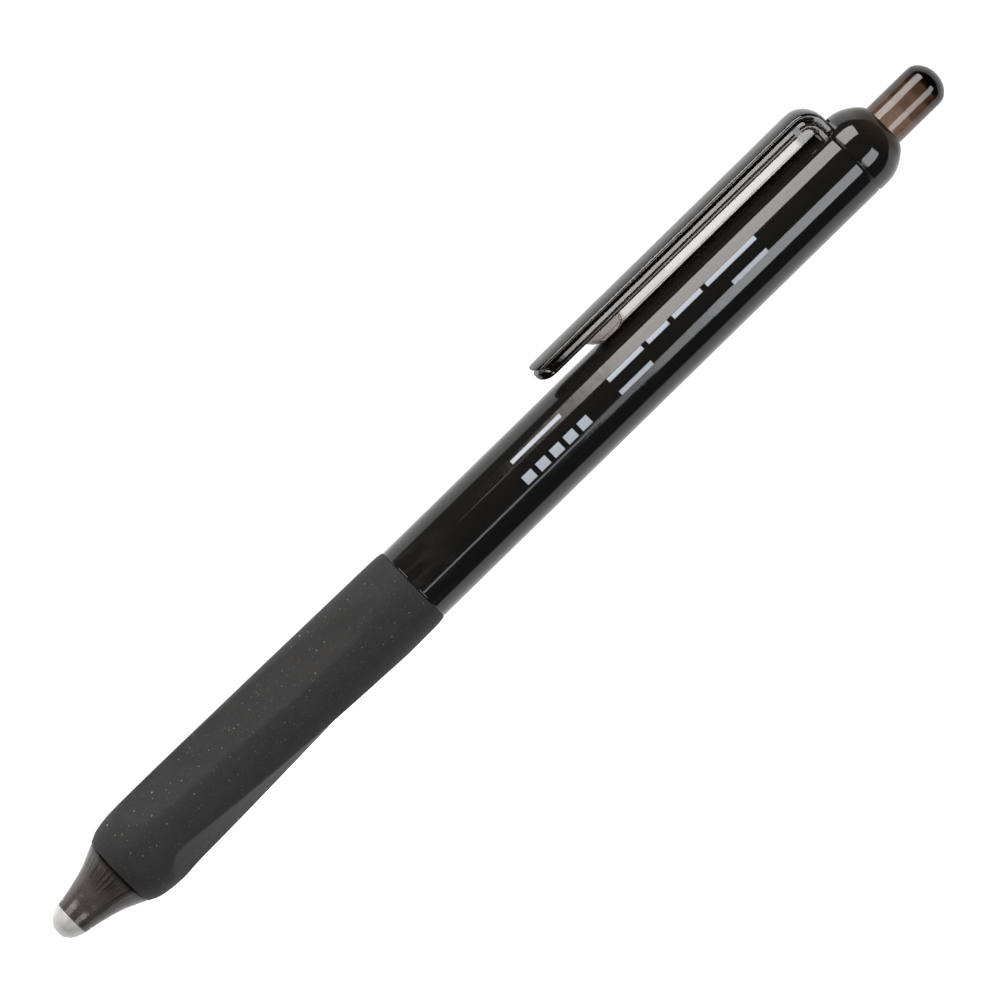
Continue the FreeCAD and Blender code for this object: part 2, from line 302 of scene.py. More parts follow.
def gloss(name, color, rough=(0.045, 0.075), wave=0.00002, marks=(), mouth_shade=False):
    """Moulded glossy plastic: faint flow waves, handling haze near the front, tiny pits, and plain printed bars."""
    m, n, l, b = material(name, color, ior=1.5)
    v = mm_coords(n, l)
    haze = noise(n, l, v, 0.22, 2.0)
    fine = noise(n, l, v, 6.0, 3.0)
    roughness = remap(n, l, haze, 0.3, 0.7, rough[0], rough[1])
    tone = ramp(n, l, fine, [(0.35, tuple(c * 0.8 for c in color)), (0.7, tuple(c * 1.25 for c in color))])
    s, deg, out = pen_coords(n, l)
    if marks:
        # rubbed haze next to the grip
        near = remap(n, l, s, 58.5, 66.0, 1.0, 0.0)
        streak = noise(n, l, mm_coords(n, l, (260, 900, 900)), 1.0, 4.0)
        near = maths(n, l, "MULTIPLY", near, remap(n, l, streak, 0.46, 0.66, 0.0, 1.0))
        mixh = n.new("ShaderNodeMix"); mixh.data_type = "RGBA"
        l.new(maths(n, l, "MULTIPLY", near, 0.35), mixh.inputs["Factor"])
        l.new(tone, mixh.inputs["A"]); mixh.inputs["B"].default_value = (0.035, 0.034, 0.033, 1)
        tone = mixh.outputs["Result"]
        mask = None
        for s0, s1, d0, d1 in marks:
            one = maths(n, l, "MULTIPLY", window(n, l, s, s0, s1, 0.05), window(n, l, deg, d0, d1, 0.7))
            mask = one if mask is None else maths(n, l, "MAXIMUM", mask, one)
        wear = remap(n, l, noise(n, l, v, 9.0, 5.0, 0.7), 0.30, 0.42, 0.80, 1.0)
        mask = maths(n, l, "MULTIPLY", mask, wear)
        mixp = n.new("ShaderNodeMix"); mixp.data_type = "RGBA"
        l.new(mask, mixp.inputs["Factor"]); l.new(tone, mixp.inputs["A"])
        mixp.inputs["B"].default_value = (0.32, 0.35, 0.395, 1)
        tone = mixp.outputs["Result"]
        roughness = maths(n, l, "ADD", roughness, maths(n, l, "MULTIPLY", mask, 0.35))
    if mouth_shade:
        # painted shade: towards the button's hole the dome's colour darkens to brown and its reflection is weakened
        t = remap(n, l, s, 133.2, 134.8, 0.0, 1.0)
        mouth_shade_mix = n.new("ShaderNodeMix"); mouth_shade_mix.data_type = "RGBA"
        l.new(t, mouth_shade_mix.inputs["Factor"]); l.new(tone, mouth_shade_mix.inputs["A"])
        mouth_shade_mix.inputs["B"].default_value = (0.016, 0.0115, 0.008, 1)
        tone = mouth_shade_mix.outputs["Result"]
        l.new(remap(n, l, s, 133.4, 134.6, 0.5, 0.14), b.inputs["Specular IOR Level"])
    l.new(roughness, b.inputs["Roughness"])
    l.new(tone, b.inputs["Base Color"])
    bump(n, l, b, noise(n, l, v, 0.5, 2.0), 0.35, wave)
    return m


def smoke(name, sigma, rough=0.02, wave=0.000006, skin=None, ior=1.49, rear=None, front=None):
    """Clear tinted plastic: light dies off inside it by sigma per millimetre in red, green and blue.
    skin = (which, a, b, tint): its surface also takes tint where the station or the radius passes from a to b.
    rear = (station, tint): so it does behind that station, and front = (station, tint) before it."""
    m, n, l, b = material(name, (1, 1, 1), ior=ior, transmission=1.0)
    v = mm_coords(n, l)
    l.new(remap(n, l, noise(n, l, v, 1.2, 2.0), 0.3, 0.8, rough, rough + 0.03), b.inputs["Roughness"])
    bump(n, l, b, noise(n, l, v, 0.6, 1.0), 0.25, wave)
    faint = ramp(n, l, noise(n, l, v, 2.0, 3.0), [(0.3, (0.94, 0.94, 0.94)), (0.7, (1, 1, 1))])
    if skin:
        which, a, c, tint = skin
        s, deg, out = pen_coords(n, l)
        t = remap(n, l, {"s": s, "out": out}[which], a, c, 0.0, 1.0)
        mx = n.new("ShaderNodeMix"); mx.data_type = "RGBA"; mx.blend_type = "MIX"
        l.new(t, mx.inputs["Factor"]); l.new(faint, mx.inputs["A"])
        mx.inputs["B"].default_value = (*tint, 1)
        faint = mx.outputs["Result"]
        if rear:
            my = n.new("ShaderNodeMix"); my.data_type = "RGBA"
            l.new(maths(n, l, "MULTIPLY", remap(n, l, s, rear[0] - 0.3, rear[0] + 0.3, 0.0, 1.0), remap(n, l, out, a, c, 1.0, 0.0)),
                  my.inputs["Factor"])
            l.new(faint, my.inputs["A"])
            my.inputs["B"].default_value = (*rear[1], 1)
            faint = my.outputs["Result"]
        if front:
            mz = n.new("ShaderNodeMix"); mz.data_type = "RGBA"
            l.new(maths(n, l, "MULTIPLY", remap(n, l, s, front[0] - 0.1, front[0] + 0.1, 1.0, 0.0), remap(n, l, out, a, c, 1.0, 0.0)),
                  mz.inputs["Factor"])
            l.new(faint, mz.inputs["A"])
            mz.inputs["B"].default_value = (*front[1], 1)
            faint = mz.outputs["Result"]
    l.new(faint, b.inputs["Base Color"])
    va = n.new("ShaderNodeVolumeAbsorption")
    top = max(sigma) * 1.25
    va.inputs["Density"].default_value = top * 1000
    va.inputs["Color"].default_value = (*[1 - x / top for x in sigma], 1)
    l.new(va.outputs["Volume"], n["Material Output"].inputs["Volume"])
    return m


def cloudy(name, sigma, color):
    """Smoke plastic with a milky share, painted dark stripes as the shade of the faint ribs inside its flared rear end,
    and painted shade at that rear end.
    """
    m, n, l, b = material(name, color, ior=1.49, transmission=0.40)
    b.inputs["Specular IOR Level"].default_value = 0.30
    v = mm_coords(n, l)
    s, deg, out = pen_coords(n, l)
    # painted shade: dark stripes round the axis stand in for the ribs seen through the plastic
    n1 = n.new("ShaderNodeTexNoise"); n1.noise_dimensions = "1D"
    n1.inputs["Scale"].default_value = 0.22
    n1.inputs["Detail"].default_value = 2.0
    l.new(deg, n1.inputs["W"])
    ribs = maths(n, l, "MULTIPLY", remap(n, l, n1.outputs["Fac"], 0.44, 0.52, 1.0, 0.0), window(n, l, s, 7.2, 9.9, 2.0))
    cloud = ramp(n, l, noise(n, l, v, 0.55, 3.0), [(0.3, tuple(c * 0.8 for c in color)), (0.7, tuple(c * 1.2 for c in color))])
    mx = n.new("ShaderNodeMix"); mx.data_type = "RGBA"
    l.new(maths(n, l, "MULTIPLY", ribs, 0.80), mx.inputs["Factor"]); l.new(cloud, mx.inputs["A"])
    mx.inputs["B"].default_value = (*[c * 0.12 for c in color], 1)
    # painted shade: the colour darkens to near black over the rear end next to the grip
    rear = n.new("ShaderNodeMix"); rear.data_type = "RGBA"
    l.new(remap(n, l, s, 9.3, 9.95, 0.0, 1.0), rear.inputs["Factor"]); l.new(mx.outputs["Result"], rear.inputs["A"])
    rear.inputs["B"].default_value = (0.012, 0.011, 0.010, 1)
    l.new(rear.outputs["Result"], b.inputs["Base Color"])
    l.new(remap(n, l, noise(n, l, v, 1.5, 3.0), 0.3, 0.7, 0.13, 0.19), b.inputs["Roughness"])
    va = n.new("ShaderNodeVolumeAbsorption")
    top = max(sigma) * 1.25
    va.inputs["Density"].default_value = top * 1000
    va.inputs["Color"].default_value = (*[1 - x / top for x in sigma], 1)
    l.new(va.outputs["Volume"], n["Material Output"].inputs["Volume"])
    return m


def matte(name, color, rough=0.5, grain=8.0, depth=0.00001, spread=0.15):
    m, n, l, b = material(name, color, rough)
    v = mm_coords(n, l)
    f = noise(n, l, v, grain, 4.0)
    l.new(ramp(n, l, f, [(0.3, tuple(c * (1 - spread) for c in color)), (0.7, tuple(min(1, c * (1 + spread)) for c in color))]),
          b.inputs["Base Color"])
    l.new(remap(n, l, f, 0.3, 0.7, rough - 0.06, rough + 0.08), b.inputs["Roughness"])
    bump(n, l, b, f, 0.4, depth)
    return m


def metal(name, color, rough=0.25, brush=(60, 900, 900), amount=1.0):
    m, n, l, b = material(name, color, rough, metal=amount)
    v = mm_coords(n, l, brush)
    f = noise(n, l, v, 1.0, 3.0)
    l.new(ramp(n, l, f, [(0.25, tuple(c * 0.86 for c in color)), (0.75, tuple(min(1, c * 1.06) for c in color))]), b.inputs["Base Color"])
    l.new(remap(n, l, f, 0.25, 0.75, rough - 0.05, rough + 0.1), b.inputs["Roughness"])
    bump(n, l, b, f, 0.2, 0.000004)
    return m


def rubber(name):
    """Soft matte rubber with a fine tooth, faint mottling, settled dust and a few bits of lint."""
    m, n, l, b = material(name, (0.02, 0.02, 0.02), 0.7)
    v = mm_coords(n, l)
    base = ramp(n, l, noise(n, l, v, 0.5, 5.0), [(0.3, (0.0108, 0.0109, 0.0115)), (0.75, (0.0152, 0.0152, 0.0156))])
    # dust: small bright dots in a share of the cells
    def dots(scale, size, share, colour, prev, seed):
        vo = n.new("ShaderNodeTexVoronoi")
        vo.feature = "F1"
        vo.inputs["Scale"].default_value = scale
        off = n.new("ShaderNodeVectorMath"); off.operation = "ADD"
        off.inputs[1].default_value = (seed, seed * 1.7, seed * 0.3)
        l.new(v, off.inputs[0]); l.new(off.outputs[0], vo.inputs["Vector"])
        sep = n.new("ShaderNodeSeparateColor")
        l.new(vo.outputs["Color"], sep.inputs["Color"])
        pick = n.new("ShaderNodeMath"); pick.operation = "LESS_THAN"
        pick.inputs[1].default_value = share
        l.new(sep.outputs["Red"], pick.inputs[0])
        near = remap(n, l, vo.outputs["Distance"], size * 0.5, size, 1.0, 0.0)
        both = n.new("ShaderNodeMath"); both.operation = "MULTIPLY"
        l.new(pick.outputs[0], both.inputs[0]); l.new(near, both.inputs[1])
        bright = n.new("ShaderNodeMath"); bright.operation = "MULTIPLY"
        l.new(both.outputs[0], bright.inputs[0]); l.new(sep.outputs["Green"], bright.inputs[1])
        mix = n.new("ShaderNodeMix"); mix.data_type = "RGBA"
        l.new(bright.outputs[0], mix.inputs["Factor"])
        l.new(prev, mix.inputs["A"])
        mix.inputs["B"].default_value = (*colour, 1)
        return mix.outputs["Result"]
    c = dots(3.4, 0.24, 0.45, (0.075, 0.074, 0.072), base, 23.0)
    c = dots(1.5, 0.19, 0.30, (0.11, 0.11, 0.108), c, 3.0)
    c = dots(0.60, 0.10, 0.36, (0.38, 0.375, 0.36), c, 11.0)
    l.new(c, b.inputs["Base Color"])
    fine = noise(n, l, v, 7.0, 6.0, 0.65)
    l.new(remap(n, l, fine, 0.3, 0.7, 0.62, 0.82), b.inputs["Roughness"])
    bump(n, l, b, fine, 0.55, 0.00003)
    b.inputs["Specular IOR Level"].default_value = 0.38
    return m


# plain bars printed on the barrel: (from station, to station, from angle, to angle)
MARKS = [(76.6, 84.6, 43.0, 49.0)] + [(76.2 + 2.25 * i, 77.75 + 2.25 * i, 69.5, 83.0) for i in range(5)]
MARKS += [(91.4, 97.0, 55.0, 61.5), (97.8, 101.2, 55.0, 61.5), (102.0, 106.6, 55.0, 61.5), (107.4, 115.4, 55.0, 61.5),
          (91.4, 96.6, 78.0, 84.5), (109.8, 115.4, 78.0, 84.5)]

M = {
    "black": gloss("black_gloss", (0.0065, 0.0063, 0.006)),
    "printed": gloss("black_gloss_printed", (0.0065, 0.0063, 0.006), marks=MARKS),
    "cap": gloss("black_gloss_cap", (0.0065, 0.0063, 0.006), mouth_shade=True),
    "rubber": rubber("grip_rubber"),
    # clip: the rear tint is painted shade, darkening the web and leg where they go down into the barrel's pocket
    "clip": smoke("smoke_clip", (0.56, 0.60, 0.64), wave=0.0000005, skin=("out", 6.95, 7.12, (0.035, 0.033, 0.031)), ior=1.54, front=(98.1, (0.62, 0.52, 0.46)),
                  rear=(126.9, (0.28, 0.26, 0.25))),
    "nose": cloudy("smoke_nose", (0.95, 1.05, 1.14), (0.078, 0.069, 0.064)),
    "button": smoke("smoke_button", (1.6, 1.92, 2.2), rough=0.05),
    "tip": metal("tip_metal", (0.47, 0.47, 0.468), 0.42, brush=(90, 2600, 2600), amount=0.3),
    "steel": metal("spring_steel", (0.56, 0.56, 0.57), 0.22),
    "ball": metal("ball_carbide", (0.45, 0.45, 0.47), 0.10),
    "white": matte("acetal_white", (0.72, 0.72, 0.70), 0.45),
    "dark": matte("acetal_black", (0.025, 0.025, 0.026), 0.45),
    "ink": gloss("ink", (0.006, 0.006, 0.009)),
    "grease": matte("grease", (0.62, 0.58, 0.42), 0.3),
    "tube": matte("clear_tube", (0.66, 0.68, 0.68), 0.25),
    "print": matte("print_white", (0.78, 0.79, 0.80), 0.35, 14.0, 0.000003, 0.05),
}


def finish_cad(node, mat):
    ob = frame["nodes"][node]
    for o in [ob] + list(ob.children_recursive):
        if o.type == "MESH":
            if not o.material_slots:
                o.data.materials.append(mat)
            for sl in o.material_slots:
                sl.material = mat


for node, mat in {
    "writing_point": "tip", "point_ball": "ball", "point_spring": "steel", "return_spring": "steel", "point_holder": "white",
    "refill_tube": "tube", "ink_column": "ink", "ink_follower": "grease", "refill_tail_plug": "white", "cam_guide": "dark",
    "cam_rotor": "white", "cam_plunger": "dark", "barrel": "black", "top_cap": "black", "grip_sleeve": "rubber", "clip": "clip",
    "nose_cone": "nose", "nose_tip": "tip", "push_button": "button",
}.items():
    finish_cad(node, M[mat])


def piece(ob, body, mat, *nodes):
    ob.data.materials.clear()
    ob.data.materials.append(M[mat])
    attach(ob, body)
    if nodes:
        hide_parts(*nodes)
    return ob


# ------------------------------------------------------------------ barrel
barrel_prof = [(10.05, 3.85), (10.05, 4.58), (10.07, 4.60), (10.12, 4.60), (10.14, 4.58), (10.15, 4.28), (58.35, 4.28), (58.35, 5.02), (58.40, 5.09), (58.47, 5.14), (58.60, 5.17), (58.72, 5.17)]
barrel_prof += [(60 + 5 * i, 5.17) for i in range(14)] + [(129.6, 5.17)]
barrel_prof += [(129.77, 5.17), (129.85, 5.155), (129.90, 5.12), (129.91, 5.07), (129.91, 4.36), (96.0, 4.36), (94.8, 3.2), (20.6, 3.2),
                (20.6, 3.85)]
barrel = lathe("barrel_shell", barrel_prof, 256)
notch = [(127.7, -2.38, 2.38), (131.34, -2.38, 2.38)]


def pocket(name):
    """Cutter for the clip's pocket: a block with rounded front corners."""
    ring = []
    hw, rad = 2.40, 0.5
    front = 128.86
    pts = [(131.36, -hw)] + [(front + rad - x, -hw + rad - y) for x, y in arc(0, 0, rad, 90, 0, 5)]
    pts += [(front + rad - x, hw - rad + y) for x, y in arc(0, 0, rad, 0, 90, 5)] + [(131.36, hw)]
    return sweep(name, [[place(s, w, r) for s, w in pts] for r in (4.42, 7.5)])


barrel = boolean(barrel, pocket("cut1"), "DIFFERENCE", 30)
piece(barrel, "barrel", "printed", "barrel")

# ------------------------------------------------------------------ top cap
dome = catmull([(131.3, 5.23), (131.8, 5.20), (132.3, 5.12), (132.8, 4.98), (133.25, 4.81), (133.7, 4.58), (134.2, 4.27), (134.66, 3.92),
                (135.1, 3.50), (135.38, 3.18)], 5)
cap_prof = [(127.0, 3.35), (127.0, 4.34), (129.93, 4.34), (129.93, 5.06), (130.04, 5.08), (130.05, 5.12), (130.09, 5.18), (130.15, 5.215), (130.24, 5.23), (131.0, 5.23)]
cap_prof += dome + [(135.46, 3.08), (135.50, 3.00), (135.47, 2.95), (133.2, 2.95), (132.8, 3.35)]
cap = lathe("dome_cap", cap_prof, 256)
cap = boolean(cap, pocket("cut2"), "DIFFERENCE", 30)
piece(cap, "barrel", "cap", "top_cap")

# ------------------------------------------------------------------ grip sleeve
FLATS = [(9.0, 6.30), (14.4, 6.00), (15.4, 5.35), (16.2, 4.92), (17.3, 4.74), (18.6, 4.70), (22.0, 4.76), (25.6, 4.82), (29.5, 4.85),
         (33.5, 4.88), (37.0, 4.90), (40.9, 4.93), (45.0, 5.00), (49.1, 5.10), (53.0, 5.42), (60.0, 6.30)]


def interp(table, s):
    if s <= table[0][0]:
        return table[0][1]
    for (a, x), (b, y) in zip(table, table[1:]):
        if s <= b:
            t = (s - a) / (b - a)
            return x + (y - x) * t
    return table[-1][1]


def grip_radius(s, r, deg):
    """Round section cut by three flats that turn with the station, with softly rounded edges."""
    if r < 4.4:
        return r
    d = sum(interp(FLATS, s + o) for o in (-0.5, -0.25, 0, 0.25, 0.5)) / 5
    turn = 19.0 + 0.985 * (s - 18.6)
    out = r
    for k in range(3):
        a = math.radians(((deg - turn - 120 * k + 180) % 360) - 180)
        if abs(a) < math.radians(80):
            flat = d / math.cos(a)
            # smooth minimum
            h = max(0.18 - abs(out - flat), 0) / 0.18
            out = min(out, flat) - h * h * 0.18 / 4
    return out


gp = catmull([(10.16, 4.78), (10.6, 5.00), (11.05, 5.22), (11.5, 5.38), (12.0, 5.50), (12.5, 5.585), (12.9, 5.64), (13.4, 5.70), (13.9, 5.745),
              (15.3, 5.79), (16.7, 5.80)], 4)
gp += [(16.7 + 0.35 * i, interp([(16.7, 5.80), (20.9, 5.80), (25.6, 5.77), (31.5, 5.70), (37.4, 5.64), (42.1, 5.58), (46.8, 5.52),
                                 (51.5, 5.46), (56.2, 5.40)], 16.7 + 0.35 * i)) for i in range(1, 113)]
gp += catmull([(56.2, 5.40), (57.0, 5.375), (57.6, 5.34), (58.0, 5.28), (58.25, 5.22), (58.36, 5.15)], 4)
grip = lathe("grip_soft", gp + [(58.38, 5.10), (58.38, 4.32), (10.16, 4.32)], 240, radius=grip_radius, angle=40)
piece(grip, "barrel", "rubber", "grip_sleeve")

# ------------------------------------------------------------------ nose cone
nose_out = catmull([(2.55, 2.42), (3.06, 2.475), (3.53, 2.545), (4.0, 2.63), (4.47, 2.73), (4.94, 2.85), (5.41, 2.96), (5.88, 3.08),
                    (6.35, 3.21), (6.82, 3.35), (7.29, 3.51), (7.76, 3.69), (8.23, 3.89), (8.70, 4.10), (9.17, 4.32), (9.64, 4.54),
                    (9.9, 4.66)], 4)


def nose_inner(s, r, deg):
    """Axial ribs inside the rear of the cone."""
    if 7.6 < s < 9.6 and r < 3.6:
        wave = 0.5 + 0.5 * math.cos(math.radians(deg * 16))
        return r - 0.28 * (wave ** 3)
    return r


nose_prof = [(2.42, 1.80), (2.42, 2.36), (2.46, 2.40), (2.60, 2.42), (2.63, 2.33), (2.73, 2.34), (2.76, 2.44), (3.00, 2.46), (3.03, 2.36),
             (3.17, 2.38), (3.20, 2.49)] + [q for q in nose_out if q[0] > 3.25] + [(9.98, 4.69), (10.0, 4.66), (10.0, 3.76), (19.3, 3.74), (19.8, 3.55), (19.8, 3.15),
             (10.0, 3.15), (9.4, 3.15), (9.0, 3.08), (8.6, 2.95), (8.2, 2.82), (7.9, 2.76), (7.55, 2.72), (7.50, 2.66), (7.5, 1.32), (7.0, 1.32),
             (7.0, 1.80)]
nose = lathe("nose_cone_shell", nose_prof, 192, radius=nose_inner, angle=32)
piece(nose, "nose", "nose", "nose_cone")

# ------------------------------------------------------------------ metal tip
tip_out = catmull([(0.0, 0.80), (0.10, 0.94), (0.235, 1.13), (0.47, 1.44), (0.705, 1.66), (0.94, 1.82), (1.175, 1.95), (1.41, 2.055),
                   (1.645, 2.14), (1.88, 2.215), (2.15, 2.29), (2.28, 2.32)], 4)
tip_prof = [(1.05, 0.62), (0.05, 0.62), (0.0, 0.67)] + tip_out + [(2.33, 2.30), (2.34, 2.22), (2.34, 1.75), (2.9, 1.75), (2.95, 1.70), (3.1, 1.70),
            (3.15, 1.75), (6.90, 1.75), (6.90, 1.25), (1.75, 1.25)]
tip = lathe("metal_tip", tip_prof, 160, angle=30)
piece(tip, "tip", "tip", "nose_tip")

# ------------------------------------------------------------------ push button
btn = [(127.6, 2.20), (127.6, 2.80), (127.7, 2.85)] + [(128 + 2 * i, 2.85) for i in range(7)] + [(141.8, 2.85)]
btn += catmull([(142.1, 2.85), (142.45, 2.82), (142.8, 2.72), (143.15, 2.52), (143.5, 2.22), (143.85, 1.78), (144.12, 1.22), (144.28, 0.65),
                (144.35, 0.0)], 5)
btn += [(142.40, 0.0), (142.40, 1.55), (142.15, 1.82), (140.9, 1.88), (140.86, 2.05), (138.5, 2.08), (138.46, 2.20)]
button = lathe("push_button_shell", btn, 192, angle=30)
piece(button, "button", "button", "push_button")

# ------------------------------------------------------------------ clip
R0, R1, R2 = 7.04, 8.05, 9.05
BC_S, BC_R = 128.05, 6.0          # centre of the bend


def round_rect(hw, lo, hi, rb, rt):
    """Half-width hw, from lo to hi, corner radii rb below and rt above; loop of (w, r)."""
    pts = arc(hw - rb, lo + rb, rb, -90, 0, 5) + arc(hw - rt, hi - rt, rt, 0, 90, 7)
    return pts + [(-w, r) for w, r in reversed(pts)]


def along(section, s_from, s_to, steps, leg_to=None, first=None):
    """Rings of a section along the straight, round the bend and down the leg."""
    rings = []
    stations = [s_from + (s_to - s_from) * i / steps for i in range(steps + 1)]
    for s in stations:
        sec = section(s)
        rings.append([place(s, w, r) for w, r in sec])
    if leg_to is not None:
        for i in range(1, 19):
            th = math.radians(5.0 * i)
            rings.append([place(BC_S + (r - BC_R) * math.sin(th), w, BC_R + (r - BC_R) * math.cos(th)) for w, r in section(BC_S)])
        for r_down in (5.6, leg_to):
            rings.append([place(BC_S + (r - BC_R), w, r_down) for w, r in section(BC_S)])
    return rings


PLATE_HALF = [(1.95, 7.04), (2.12, 7.05), (2.26, 7.10), (2.35, 7.19), (2.392, 7.30), (2.40, 7.42), (2.385, 7.56), (2.35, 7.68), (2.29, 7.77),
              (2.20, 7.87), (2.10, 7.97), (2.00, 8.06), (1.92, 8.12)]


def plate_section(s):
    """Plate with a rounded lower edge and a broad bevel on its upper edge, narrowing to the rounded free end."""
    hw = 2.40
    if s < 88.0:
        t = min(1.0, (88.0 - s) / 2.3)
        hw = max(0.35, 2.40 * math.sqrt(max(0.0, 1 - t * t * 0.985)))
    up = 0.42 * ((87.2 - s) / 1.5) ** 2 if s < 87.2 else 0.0
    lo, hi = 7.04 + up, 8.12
    half = [(w * hw / 2.40, lo + (r - 7.04) * (hi - lo) / 1.08) for w, r in PLATE_HALF]
    return half + [(-w, r) for w, r in reversed(half)]


def plate_rings():
    s_list = [85.70, 85.72, 85.78, 85.88, 86.0, 86.15, 86.35, 86.6, 86.9, 87.2, 87.6, 88.0] + [90 + 3.0 * i for i in range(13)] + [127.0, 128.05]
    rings = [[place(s, w, r) for w, r in plate_section(s)] for s in s_list]
    sec = plate_section(BC_S)
    for i in range(1, 19):
        th = math.radians(5.0 * i)
        rings.append([place(BC_S + (r - BC_R) * math.sin(th), w, BC_R + (r - BC_R) * math.cos(th)) for w, r in sec])
    sec = [(max(-2.33, min(2.33, w)), r) for w, r in sec]
    for down in (5.75, 5.4, 4.58):
        rings.append([place(BC_S + (r - BC_R), w, down) for w, r in sec])
    return rings


def body_section():
    """Raised body: sides with a little draft, a step near the top, bevelled long edges."""
    half = [(1.96, R1 - 0.14), (1.955, 8.10), (1.935, 8.16), (1.915, 8.22), (1.87, 8.46), (1.855, 8.52), (1.86, 8.56), (1.845, 8.64), (1.82, 8.70),
            (1.66, 8.83), (1.58, 8.87), (1.45, 8.905), (1.15, 8.965), (0.8, 9.01), (0.4, 9.04)]
    return half + [(-w, r) for w, r in reversed(half)]


def body_rings():
    sec = body_section()
    rings = []
    # slanted front end: the top reaches further forward than the base
    for k, (ds, sc) in enumerate([(0.0, 0.93), (0.06, 0.97), (0.18, 1.0)]):
        ring = []
        for w, r in sec:
            t = (r - (R1 - 0.14)) / (R2 - R1 + 0.14)
            front = 87.45 - 1.65 * t
            ww = w * sc
            ring.append(place(front + ds + (abs(w) / 1.9) ** 3 * 0.25, ww, r - (1 - sc) * 0.8 * t))
        rings.append(ring)
    for s in [88.3, 88.8] + [90 + 3.0 * i for i in range(13)] + [127.0, 128.05]:
        rings.append([place(s, w, r) for w, r in sec])
    for i in range(1, 19):
        th = math.radians(5.0 * i)
        rings.append([place(BC_S + (r - BC_R) * math.sin(th), w, BC_R + (r - BC_R) * math.cos(th)) for w, r in sec])
    for down in (5.6, 4.58):
        rings.append([place(BC_S + (r - BC_R), w, down) for w, r in sec])
    return rings


def wedge_piece(name, outline, hw, edge=0.12):
    """Outline of (s, r) with half-width hw and slightly rounded long edges."""
    cs = sum(p[0] for p in outline) / len(outline)
    cr = sum(p[1] for p in outline) / len(outline)
    rings = []
    for w, k in [(-hw, 0.0), (-hw + edge * 0.3, 0.6), (-hw + edge, 1.0), (hw - edge, 1.0), (hw - edge * 0.3, 0.6), (hw, 0.0)]:
        ring = []
        for s, r in outline:
            ds, dr = s - cs, r - cr
            f = (1 - k) * edge
            ring.append(place(s - math.copysign(min(abs(ds), f), ds), w, r - math.copysign(min(abs(dr), f), dr)))
        rings.append(ring)
    return sweep(name, rings)


clip = sweep("clip_smoke", plate_rings(), 30)
clip = boolean(clip, sweep("clip_body", body_rings(), 30), "UNION", 30)
web = [(97.0, R0 + 0.25), (97.0, 5.33), (128.9, 5.33), (129.35, 5.36), (129.35, R0 + 0.25)]
under = wedge_piece("clip_web", web, 0.62)
tooth = [(92.3, R0 + 0.25), (92.5, 6.85), (93.0, 6.25), (93.6, 5.70), (94.0, 5.45), (94.4, 5.33), (95.6, 5.30), (96.8, 5.33), (97.3, 5.50),
         (97.65, 5.85), (97.85, 6.4), (97.95, R0 + 0.25)]
under = boolean(under, wedge_piece("clip_tooth", tooth, 1.40, 0.25), "UNION", 30)
clip = boolean(clip, under, "UNION", 30)
# small relief notches in the flanges, just before the bend
for side in (-1, 1):
    a, b = sorted((side * 1.97, side * 2.9))
    clip = boolean(clip, block("relief", 127.1, 127.95, a, b, 6.8, 8.4), "DIFFERENCE", 30)
even = clip.modifiers.new("even_normals", "WEIGHTED_NORMAL")
even.keep_sharp = True
even.weight = 90
piece(clip, "clip", "clip", "clip")

# ------------------------------------------------------------------ return spring
def coil(name, s0, s1, mean, wire, turns, per=40, ring=10):
    """Helical wire of even pitch, its ends capped flat."""
    verts, faces = [], []
    total = int(turns * per)
    for i in range(total + 1):
        t = i / total
        a = 2 * math.pi * turns * t
        s = s0 + wire + (s1 - s0 - 2 * wire) * t
        c, e = math.cos(a), math.sin(a)
        for k in range(ring):
            b = 2 * math.pi * k / ring
            r = mean + wire * math.cos(b)
            verts.append(place(s + wire * math.sin(b), r * e, r * c))
    for i in range(total):
        for k in range(ring):
            k2 = (k + 1) % ring
            faces.append([i * ring + k, i * ring + k2, (i + 1) * ring + k2, (i + 1) * ring + k])
    faces.append(list(range(ring))[::-1])
    faces.append([total * ring + k for k in range(ring)])
    return smooth(new_object(name, verts, faces), 60)


spring = piece(coil("spring_wire", 7.95, 19.05, 2.15, 0.20, 7), "barrel", "steel", "return_spring")
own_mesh(spring)

# ------------------------------------------------------------------ stage, lights, camera
T = math.radians(44.35)
PHI = math.radians(19.0)
ELEV = math.pi / 2 - DROOP - PHI
C = Vector((0, -math.cos(ELEV), math.sin(ELEV)))            # towards the camera
P = Vector((0, -math.sin(ELEV), -math.cos(ELEV)))           # across the pen, up in the turned picture
Ux = Vector((-1, 0, 0))
right = Ux * math.cos(T) - P * math.sin(T)
up = Ux * math.sin(T) + P * math.cos(T)
target = Vector((TIP_X - (618 * 0.1175) * MM, AXIS_Y, AXIS_Z))
DIST = 0.90
cam_data = bpy.data.cameras.new("camera")
cam_data.lens = 36.0 * DIST / 0.1175
cam_data.sensor_width = 36.0
cam_data.clip_start, cam_data.clip_end = 0.01, 50
cam = bpy.data.objects.new("camera", cam_data)
bpy.context.scene.collection.objects.link(cam)
cam.matrix_world = Matrix(((right.x, up.x, C.x, target.x + C.x * DIST), (right.y, up.y, C.y, target.y + C.y * DIST),
                           (right.z, up.z, C.z, target.z + C.z * DIST), (0, 0, 0, 1)))
bpy.context.scene.camera = cam


